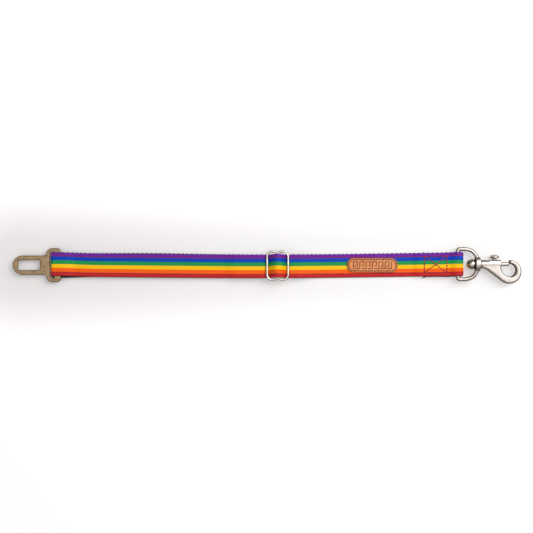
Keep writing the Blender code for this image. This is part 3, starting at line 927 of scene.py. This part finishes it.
def build_tongue():
    low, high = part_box("tongue_plate")
    fillet, big, small = 1.6 * MM, 5.9 * MM, 4.2 * MM
    upper_half = joined(
        arc((high.x - small, high.y - small), small, 0, 90, 12),
        arc((HEAD_LEFT + big, high.y - big), big, 90, 180, 16),
        arc((HEAD_LEFT - fillet, BLADE_HALF + fillet), fillet, 0, -90, 8),
        arc((low.x + BLADE_HALF, 0), BLADE_HALF, 90, 180, 24),
    )
    lower_half = [Vector((p.x, -p.y)) for p in reversed(upper_half[:-1])]
    outlines = [
        upper_half + lower_half,
        rounded_rectangle(WINDOW_X, WINDOW_HALF, 0.9 * MM, 5),
        rounded_rectangle(SLOT_X, SLOT_HALF, 1.2 * MM, 5),
    ]
    obj = plate("tongue_stamping", outlines, high.z - low.z, 0.85 * MM, 4, (low.z + high.z) / 2)
    oblong = rounded_rectangle((-4.4 * MM, 1.4 * MM), 0.95 * MM, 0.9 * MM, 6)
    dimple = [Vector((-p.y - 2.2 * MM, p.x - 1.6 * MM)) for p in oblong]
    obj = cut(obj, plate("dimple", [dimple], 0.7 * MM, 0.2 * MM, 2, high.z))
    finish_metal(obj, TONGUE_STEEL, "tongue", "tongue_plate", "tongue_steel", 40)


# ---------------- wire adjuster


def adjuster_outline():
    """One turn of the wire: straight outer bars, round corners and a dip at the centre bar."""
    low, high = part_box("adjuster_frame")
    radius = (high.z - low.z) / 2
    reach, shoulder = (high.x - low.x) / 2 - radius, (high.y - low.y) / 2 - radius
    corner, dip, steps = 5.5 * MM, 1.15 * MM, 14
    side = reach - corner
    quarter = arc((side, shoulder - corner), corner, 0, 90, steps)
    for i in range(1, steps + 1):
        share = i / steps
        quarter.append(Vector((side * (1 - share), shoulder - dip * smooth_step(share))))
    top = quarter + [Vector((-p.x, p.y)) for p in reversed(quarter[:-1])]
    return top + [Vector((-p.x, -p.y)) for p in top], radius, (low + high) / 2, shoulder - dip


def build_adjuster():
    outline, radius, centre, waist = adjuster_outline()
    centre.y += bow(centre.x) - 0.2 * MM
    points = [(centre.x + p.x, centre.y + p.y, centre.z) for p in outline]
    ring = tube("adjuster_wire", points, radius, cyclic=True)
    finish_metal(ring, BRIGHT, "adjuster", "adjuster_frame", "wire", 60)
    half = [(waist - 0.8 * MM, radius), (waist, radius * 0.8), (waist, 0)]
    profile = [(-along, r) for along, r in reversed(half)] + half
    bar = lathe("adjuster_bar", profile, centre, steps=24, axis="Y")
    finish_metal(bar, BRIGHT, "adjuster", "adjuster_centre_bar", "wire", 60)


# ---------------- swivel eye

SNAP = origin_of("hook_swivel")
EYE_BAR = origin_of("eye_swing")
BOSS_LENGTH = 4.8 * MM
BOSS_BORE = 2.7 * MM
BOSS_WIDE = 1.28


def stretched(obj, across, up):
    """The piece made wider or flatter about the snap's axis."""
    scale = Matrix.Diagonal((1, across, up, 1))
    obj.data.transform(Matrix.Translation(SNAP) @ scale @ Matrix.Translation(-SNAP))
    return obj


def bored(obj, start, end, radius):
    """The piece with a round hole along the snap's axis."""
    return cut(obj, lathe("bore", [(start, 0), (start, radius), (end, radius), (end, 0)], SNAP))


def build_eye():
    low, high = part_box("swivel_eye")
    radius = EYE_BAR.x - low.x
    half = high.y - radius
    corner, bow_x, fullness, steps = 2.1 * MM, 433.7 * MM, 0.78, 48
    corner_x = EYE_BAR.x + corner
    reach = SNAP.x - BOSS_LENGTH / 2 - bow_x
    sweep_round = []
    for i in range(1, steps):
        angle = math.pi / 2 * (1 - 2 * i / steps)
        across = math.copysign(abs(math.sin(angle)) ** fullness, math.sin(angle))
        sweep_round.append((bow_x + reach * math.cos(angle) ** fullness, -half * across))
    path = joined(
        arc((corner_x, half - corner), corner, 90, 180, 12),
        arc((corner_x, -half + corner), corner, 180, 270, 12),
        [(bow_x, -half)],
        sweep_round,
        [(bow_x, half)],
    )
    ring = tube("eye_casting", [(p.x, p.y, SNAP.z) for p in path], radius, cyclic=True, sides=10)
    boss_r, soft = high.z - SNAP.z, 0.45 * MM
    turns = [math.pi * i / 8 for i in range(5)]
    left = [(soft - BOSS_LENGTH - soft * math.cos(a), boss_r - soft + soft * math.sin(a)) for a in turns]
    right = [(soft * math.sin(a) - soft, boss_r - soft + soft * math.cos(a)) for a in turns]
    boss = lathe("boss", [(-BOSS_LENGTH, 0), *left, *right, (0, 0)], SNAP)
    ring = cut(ring, stretched(boss, BOSS_WIDE, 1), "UNION")
    ring = bored(ring, -BOSS_LENGTH - 3 * MM, 3 * MM, BOSS_BORE)
    finish_metal(ring, SATIN, "eye", "swivel_eye", "casting", 40)


# ---------------- bolt snap

BARREL_R = 4.3 * MM
BARREL_END = 21.4 * MM
BORE_X = (2.2 * MM, 24 * MM)
BORE_R = 1.95 * MM
KNOB_X = 15.1 * MM
BOLT_TRAVEL = JOINTS["bolt_slide"]["range_m"][1]


def hook_outline():
    """The flat of the hook about the snap's own axis: flank, ring, nose and throat."""
    slope, neck_r, neck_x = 38.2, 10.3 * MM, 2.0 * MM
    ring_centre, ring_r = (30.4 * MM, -8.0 * MM), 12.3 * MM
    hole_centre, hole_r = (30.4 * MM, -6.45 * MM), 6.7 * MM
    throat_centre, throat_r = (31.3 * MM, -3.3 * MM), 9.7 * MM
    flat_y = BARREL_R - 0.3 * MM
    neck = arc((neck_x, -BARREL_R - neck_r), neck_r, 90, 90 - slope, 10)
    outline = joined(
        [(neck_x, 0.0)],
        neck,
        arc(ring_centre, ring_r, -90 - slope, 90, 60),
        arc(hole_centre, hole_r, 90, -80, 40),
        arc(throat_centre, throat_r, -98, -180, 20),
        [(throat_centre[0] - throat_r, flat_y), (9.0 * MM, flat_y)],
    )
    # points close beside a corner are left out, so that its rounded edge can't fold over itself
    nose = ring_centre[0]
    corners = (neck[0], Vector((nose, ring_centre[1] + ring_r)), Vector((nose, hole_centre[1] + hole_r)))
    clear = 2.0 * MM
    return [p for p in outline if all(not 0.01 * MM < (p - corner).length < clear for corner in corners)]


def soft_cast(obj, voxel, rounds):
    """Runs the solids joined in obj together and softens them, as a tumbled casting is."""
    fuse = obj.modifiers.new("Fuse", "REMESH")
    fuse.mode = "VOXEL"
    fuse.voxel_size = voxel
    soften = obj.modifiers.new("Soften", "SMOOTH")
    soften.factor = 0.5
    soften.iterations = rounds
    return applied(obj)


def join_meshes(name, objects):
    work = bmesh.new()
    for obj in objects:
        work.from_mesh(obj.data)
        bpy.data.objects.remove(obj, do_unlink=True)
    return linked(name, work)


def build_hook():
    flat_thick, flat_edge = 7.4 * MM, 1.85 * MM
    flat = plate("hook_flat", [hook_outline()], flat_thick, flat_edge, 5, 0)
    flat.data.transform(Matrix.Translation(SNAP))
    start, end, soft = 0.15 * MM, BARREL_END + 0.15 * MM, 0.5 * MM
    profile = [(start, 0), (start, BARREL_R - soft), (start + soft, BARREL_R)]
    profile += [(end - soft, BARREL_R), (end, BARREL_R - soft), (end, 0)]
    barrel = stretched(lathe("barrel", profile, SNAP), 1, 0.9)
    hook = soft_cast(join_meshes("hook_casting", [flat, barrel]), 0.26 * MM, 18)
    hook = bored(hook, *BORE_X, BORE_R)
    play, deep = 1.8 * MM, 8 * MM
    outline = rounded_rectangle((KNOB_X - BOLT_TRAVEL - play, KNOB_X + play), play, play * 0.95, 8)
    slot = plate("knob_slot", [outline], deep, 0.05 * MM, 1, 0)
    outward = Matrix.Rotation(-math.pi / 2, 4, "X")
    slot.data.transform(Matrix.Translation(SNAP + Vector((0, deep / 2, 0))) @ outward)
    finish_metal(cut(hook, slot), SATIN, "hook", "hook_body", "casting", 45)


def build_rivet():
    """The stem's formed head, a cut ball that keeps the hook in the eye's boss."""
    ball_r, ball_x, face_x = 5.2 * MM, -8.4 * MM, -5.1 * MM
    stem_r, stem_end, soft = 2.5 * MM, 2.6 * MM, 0.15 * MM
    profile = []
    for i in range(41):
        angle = math.pi * (1 - i / 40)
        x = ball_x + ball_r * math.cos(angle)
        if x > face_x - soft:
            break
        profile.append((x, ball_r * math.sin(angle) if i else 0.0))
    rim = math.sqrt(ball_r**2 - (face_x - ball_x) ** 2)
    profile += [(face_x, rim - soft), (face_x, stem_r), (stem_end, stem_r), (stem_end, 0)]
    finish_metal(lathe("hook_rivet", profile, SNAP), POLISHED, "hook", "hook_body", "casting", 40)


def build_bolt():
    low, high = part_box("snap_bolt")
    radius, soft = (high.z - low.z) / 2, 0.4 * MM
    start, end = low.x - SNAP.x, high.x - SNAP.x
    profile = [(start, 0), (start, radius - soft), (start + soft, radius), (end - 2 * soft, radius)]
    profile += [(end - 0.9 * soft, radius * 0.96), (end - 0.2 * soft, radius * 0.82), (end, radius * 0.6)]
    bolt = lathe("bolt_pin", profile + [(end, 0)], SNAP, steps=40)
    finish_metal(bolt, SATIN, "bolt", "snap_bolt", "casting", 40)


def build_knob():
    """The thumb knob: a stem that stands in the bolt, flaring into a cap with a domed top."""
    low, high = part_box("snap_bolt")
    cap_low, cap_high, cap_r, stem_r = 6.3 * MM, 9.7 * MM, 4.9 * MM, 1.5 * MM
    foot, root, flare = (high.z - low.z) / 2 - 0.3 * MM, BARREL_R + 0.3 * MM, 0.7 * MM
    profile = [(foot, 0), (foot, stem_r), (root, stem_r), (root + 0.15 * MM, stem_r + flare)]
    for i in range(1, 7):
        share = i / 6
        profile.append((cap_low - 1.4 * MM * (1 - share) ** 1.6, stem_r + flare + 0.8 * MM * share**2))
    lip = cap_low + 0.75 * MM
    profile += [(cap_low + 0.1 * MM, cap_r * 0.86), (lip - 0.35 * MM, cap_r * 0.97), (lip, cap_r)]
    for i in range(1, 13):
        angle = math.pi / 2 * i / 12
        profile.append((lip + (cap_high - lip) * math.sin(angle), cap_r * math.cos(angle) if i < 12 else 0.0))
    knob = lathe("knob_turned", profile, SNAP + Vector((KNOB_X, 0, 0)), steps=48, axis="Y")
    finish_metal(knob, TURNED, "bolt", "thumb_knob", "casting", 30)


def build_spring():
    low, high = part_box("bolt_spring")
    wire_r, coil_r = 0.22 * MM, 1.45 * MM
    turns, per_turn = 6, 28
    length = high.x - low.x
    points = []
    for i in range(turns * per_turn + 1):
        angle = 2 * math.pi * i / per_turn
        x = low.x + wire_r + (length - 2 * wire_r) * i / (turns * per_turn)
        points.append((x, coil_r * math.cos(angle), SNAP.z + coil_r * math.sin(angle)))
    coil = tube("spring_coil", points, wire_r, sides=2)
    finish_metal(coil, SPRING_STEEL, "hook", "bolt_spring", "spring", 50)
    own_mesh(coil)


# ---------------- leather patch and sewn boxes

PATCH_CORNER = 6.5 * MM
PATCH_SEAM = 1.6 * MM


def edge_distance(x, y, half_x, half_y, corner):
    """Distance in from the edge of a rounded rectangle."""
    qx, qy = abs(x) - half_x + corner, abs(y) - half_y + corner
    outside = math.hypot(max(qx, 0), max(qy, 0))
    return corner - outside - min(max(qx, qy), 0)


def key_pattern(x, y):
    """How deep a point is in the patch's tooled border of square turns, from 0 to 1."""
    reach, tall, unit, line = 19.8 * MM, 3.5 * MM, 6.6 * MM, 0.72 * MM
    if abs(x) > reach + line or abs(y) > tall + line:
        return 0.0
    u = (x + reach) % unit
    hook_x, tip_x, tip_y = unit * 0.62, unit * 0.31, -tall * 0.25
    turns = ((0, -tall), (0, tall), (hook_x, tall), (hook_x, tip_y), (tip_x, tip_y))
    foot = ((tip_x, -tall), (unit, -tall), (unit, tall))
    nearest = 1.0
    for (ax, ay), (bx, by) in (*zip(turns, turns[1:]), *zip(foot, foot[1:])):
        dx, dy = bx - ax, by - ay
        t = min(max(((u - ax) * dx + (y - ay) * dy) / (dx * dx + dy * dy), 0), 1)
        nearest = min(nearest, math.hypot(u - ax - dx * t, y - ay - dy * t))
    return 1 - smooth_step((nearest - line * 0.4) / (line * 0.5))


def patch_height(x, y, inset, burn):
    """How far the leather's face stands off its nominal thickness at a point."""
    soft = 0.45 * MM
    drop = soft - math.sqrt(max(soft**2 - max(soft - inset, 0) ** 2, 0))
    groove = 0.14 * MM * bell(inset - PATCH_SEAM, 0.45 * MM)
    crown = 0.10 * MM * smooth_step((inset - PATCH_SEAM) / (2.5 * MM))
    grain = noise.noise(Vector((x, y, 0)) * 900) * 0.03 * MM * min(inset / soft, 1)
    return -0.1 * MM - drop - groove + crown - 0.16 * MM * burn + grain


def patch_place():
    """The patch's half sizes and thickness, and how it lies on the ribbon, slightly askew."""
    low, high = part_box("leather_patch")
    centre_x = (low.x + high.x) / 2
    shift = Vector((centre_x, bow(centre_x) * 0.8, low.z))
    laid = Matrix.Translation(shift) @ Matrix.Rotation(math.radians(-0.6), 4, "Z")
    return (high.x - low.x) / 2, (high.y - low.y) / 2, high.z - low.z, laid


def build_patch():
    half_x, half_y, thick, laid = patch_place()
    columns, rows, margin = 240, 66, 0.035
    vertices, edges, burns = [], [], []
    for i in range(columns + 1):
        turn = math.pi * (margin + (1 - 2 * margin) * i / columns)
        x = -half_x * math.cos(turn) / math.cos(math.pi * margin)
        over = max(abs(x) - half_x + PATCH_CORNER, 0)
        tall = half_y - PATCH_CORNER + math.sqrt(max(PATCH_CORNER**2 - over**2, 0))
        for j in (*range(rows + 1), *range(-rows, 1)):
            top = len(vertices) % (2 * rows + 2) <= rows
            y = tall * math.sin(math.pi / 2 * (2 * abs(j) / rows - 1))
            inset = max(edge_distance(x, y, half_x, half_y, PATCH_CORNER), 0)
            burn = key_pattern(x, y)
            under = 0.02 * MM * min(inset / (0.3 * MM), 1)
            vertices.append(Vector((x, y, thick + patch_height(x, y, inset, burn) if top else under)))
            edges.append(1 - smooth_step((inset - 0.1 * MM) / (0.9 * MM)) if top else 1.0)
            burns.append(0.95 * burn)
    mesh = mesh_from("patch_leather", vertices, ring_faces(columns + 1, 2 * rows + 2))
    paint(mesh, edge=edges, burn=burns)
    mesh.transform(laid)
    patch = link("patch_leather", cleaned(mesh), LEATHER)
    smooth_by_angle(patch, 60)
    stand_for(patch, "leather_patch", "leather", "strap")


def build_patch_seam():
    half_x, half_y, thick, laid = patch_place()
    reach_x, reach_y, height = half_x - PATCH_SEAM, half_y - PATCH_SEAM, thick - 0.14 * MM
    line = rounded_rectangle((-reach_x, reach_x), reach_y, PATCH_CORNER - PATCH_SEAM, 12)
    points = []
    for p, q in zip(line, line[1:] + line[:1]):
        pieces = max(1, round((q - p).length / (0.8 * MM)))
        points += [laid @ Vector((*p.lerp(q, k / pieces), height)) for k in range(pieces)]
    total = sum((a - b).length for a, b in zip(points, points[1:] + points[:1]))
    tree = thread_nodes("patch_stitch", 0.5 * MM, total / round(total / STITCH), THREAD_BROWN, (0, 0, 1))
    edges = [(i, (i + 1) % len(points)) for i in range(len(points))]
    stitches = seam_line("stitches_patch", points, edges, tree, THREAD_BROWN)
    stand_for(stitches, "patch_seam", "thread_brown", "strap")


def sewn_box(name, body, node, out, height_at):
    """A sewn box with a cross: four sides in one run, then each diagonal."""
    tree = thread_nodes(name + "_stitch", 0.54 * MM, 2.9 * MM, THREAD_RED, out)
    (x0, x1), reach = (corner.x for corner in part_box(node)), SEAM_ACROSS
    runs = (
        ((x0, reach), (x1, reach), (x1, -reach), (x0, -reach), (x0, reach)),
        ((x0, reach), (x1, -reach)),
        ((x0, -reach), (x1, reach)),
    )
    points, edges = [], []
    for run in runs:
        for index, ((ax, ay), (bx, by)) in enumerate(zip(run, run[1:])):
            pieces = max(2, round(math.hypot(bx - ax, by - ay) / (1.0 * MM)))
            for k in range(1 if index else 0, pieces + 1):
                if k:
                    edges.append((len(points) - 1, len(points)))
                x = ax + (bx - ax) * k / pieces
                points.append((x, ay + (by - ay) * k / pieces + bow(x), height_at(x)))
    stand_for(seam_line(name, points, edges, tree, THREAD_RED), node, "thread_red", body)


def build_boxes():
    low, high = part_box("box_seam_eye_end")
    slope = (high.z - low.z - 0.2 * MM) / (high.x - low.x)
    out = Vector((-slope, 0, 1)).normalized()
    foot = low.z - 0.05 * MM
    sewn_box("stitches_box_eye", "strap", "box_seam_eye_end", out, lambda x: foot + slope * (x - low.x))
    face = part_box("box_seam_adjuster")[1].z - 0.05 * MM
    sewn_box("stitches_box_adjuster", "adjuster", "box_seam_adjuster", (0, 0, -1), lambda x: face)


build_lengths()
build_tongue()
build_adjuster()
build_eye()
build_hook()
build_rivet()
build_bolt()
build_knob()
build_spring()
build_patch()
build_patch_seam()
build_boxes()

# ---------------- stage


def settle(floor):
    """Keeps the floor under the strap's lowest point, however the joints are set."""
    shown = bpy.data.collections.new("strap")
    bpy.context.scene.collection.children.link(shown)
    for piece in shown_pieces():
        shown.objects.link(piece)
    tree, add = geometry_nodes("floor_height")
    strap = add("GeometryNodeCollectionInfo", {"Collection": shown}, transform_space="RELATIVE")
    box = add("GeometryNodeBoundBox", {0: add("GeometryNodeRealizeInstances", {0: strap})}, "Min")
    height = add("ShaderNodeSeparateXYZ", {0: box}, "Z")
    drop = add("ShaderNodeMath", {0: height, 1: 0.0}, operation="MINIMUM")
    shift = add("ShaderNodeCombineXYZ", {"Z": drop})
    moved = add("GeometryNodeTransform", {0: add("NodeGroupInput"), "Translation": shift})
    add_node(tree, "NodeGroupOutput", {0: moved})
    floor.modifiers.new("Height", "NODES").node_group = tree


def build_floor():
    """A pale sheet that glows as painted light: brighter to the right and away from the strap, so the strap's
    surroundings carry a painted shade.
    """
    half, height = 3.0, -0.05 * MM
    middle = (cad_box[0] + cad_box[1]) / 2
    square = ((-half, -half), (half, -half), (half, half), (-half, half))
    corners = [(middle.x + x, middle.y + y, height) for x, y in square]
    look = Look("floor_pale", roughness=0.9, specular_ior_level=0.1, emission_color=(1.0, 1.0, 1.0))
    place = look.place()
    along, across = look.axis(place, "X"), look.axis(place, "Y")
    # painted light: the floor glows more to the right and takes less from the lamps there, which paints its
    # shadows lighter
    painted_light_right = look.rise(along, -0.02, 0.40)
    look.set("Base Color", look.mix(painted_light_right, (0.80, 0.79, 0.795), (0.62, 0.615, 0.615)))
    # painted shade: the glow drops near the strap, which darkens the floor around it
    strap_middle, strap_half = 0.21, 0.235
    out = look.math("ABSOLUTE", look.math("SUBTRACT", along, strap_middle))
    past = look.math("MAXIMUM", look.math("SUBTRACT", out, strap_half), 0.0)
    offset = look.combine(past, across, 0.0)
    reach = look.add("VectorMath", {0: offset}, output="Value", operation="LENGTH")
    painted_glow = look.math("MULTIPLY_ADD", painted_light_right, 0.25, 0.10)
    look.set("Emission Strength", look.math("MULTIPLY_ADD", look.rise(reach, 0.018, 0.085), 0.26, painted_glow))
    floor = link("floor", mesh_from("floor", corners, [(0, 1, 2, 3)]), look.material)
    floor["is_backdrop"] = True
    settle(floor)


def build_lights():
    aim = Vector((0.23, 0, 0))
    for name, place, size, power, colour in (
        ("key", (0.95, 0.52, 0.88), 1.0, 10.6, (1.0, 0.985, 0.97)),
        ("fill", (-0.55, -0.30, 1.2), 1.2, 0.8, (0.97, 0.98, 1.0)),
        ("top", (0.25, 0.0, 1.6), 1.6, 1.6, (1.0, 1.0, 1.0)),
    ):
        data = bpy.data.lights.new(name, "AREA")
        data.shape = "SQUARE"
        data.size = size
        data.energy = power
        data.color = colour
        lamp = link(name, data)
        lamp.location = place
        lamp.rotation_euler = (Vector(place) - aim).to_track_quat("Z", "Y").to_euler()


def build_world():
    """Pale surroundings that light the strap softly, with a darker horizon for metal to mirror."""
    world = bpy.data.worlds.new("studio")
    bpy.context.scene.world = world
    world.use_nodes = True
    tree = world.node_tree
    place = add_node(tree, "ShaderNodeTexCoord").outputs["Generated"]
    height = add_node(tree, "ShaderNodeSeparateXYZ", {0: place}).outputs["Z"]
    dark, dim, bright = (0.10, 0.09, 0.08), (0.36, 0.34, 0.32), (1.15, 1.13, 1.12)
    diffuse = colour_ramp(tree, height, [(0.0, dark), (0.45, dim), (0.85, bright)])
    low, high, top = (0.42, 0.4116, 0.399), (0.92, 0.9016, 0.874), (1.36, 1.35, 1.34)
    mirrored = colour_ramp(tree, height, [(0.05, dark), (0.5, low), (0.8, high), (0.97, top)])
    rays = add_node(tree, "ShaderNodeLightPath").outputs
    colour = colour_mix(tree, rays["Is Glossy Ray"], diffuse, mirrored)
    colour = colour_mix(tree, rays["Is Camera Ray"], colour, (1.53, 1.53, 1.53))
    background = tree.nodes["Background"]
    feed(tree, background.inputs["Color"], colour)
    feed(tree, background.inputs["Strength"], 0.64)


def build_camera():
    """Straight above the strap, as it was photographed."""
    width = 554.3 * MM
    lens, sensor = 60.0, 36.0
    data = bpy.data.cameras.new("camera")
    data.lens = lens
    data.sensor_width = sensor
    distance = width * lens / sensor
    camera = link("camera", data)
    camera.location = (230.4 * MM, -1.9 * MM, distance + 1.5 * MM)
    camera.rotation_euler = (0, 0, math.radians(-0.12))
    data.clip_end = 20
    bpy.context.scene.camera = camera


build_floor()
build_lights()
build_world()
build_camera()
bpy.context.scene.view_settings.view_transform = "Standard"
